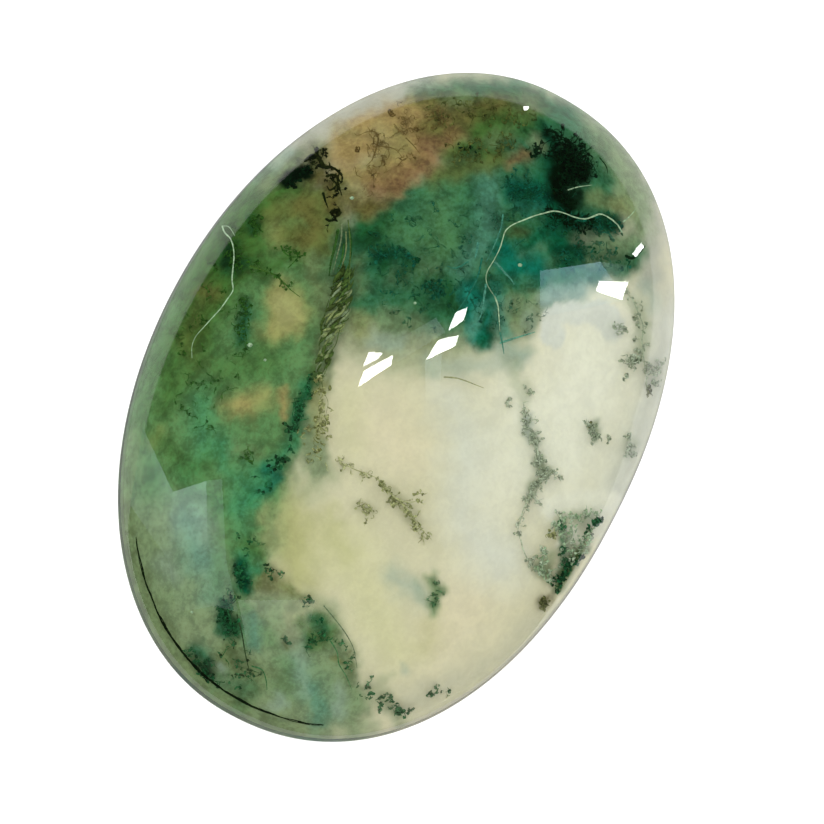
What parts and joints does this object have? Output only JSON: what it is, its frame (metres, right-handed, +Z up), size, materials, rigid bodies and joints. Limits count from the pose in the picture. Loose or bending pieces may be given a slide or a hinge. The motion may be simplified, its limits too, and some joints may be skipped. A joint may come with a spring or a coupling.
{
  "type": "moss agate cabochon",
  "caption": "Oval polished moss agate cabochon with a domed top, a thin upright girdle, a bevelled foot and a flat base.",
  "frame": {"origin": "middle of the flat base, in the plane that the stone rests on", "axes": "+X along the length, +Y across the width towards the rounder long side, +Z up through the dome's apex"},
  "size_m": [0.0258, 0.018, 0.006],
  "materials": {
    "moss_agate": "high polish on milky translucent chalcedony with green moss, cream clear windows and tan iron stain"
  },
  "bodies": {
    "root": {"stone": "moss_agate"}
  },
  "joints": []
}
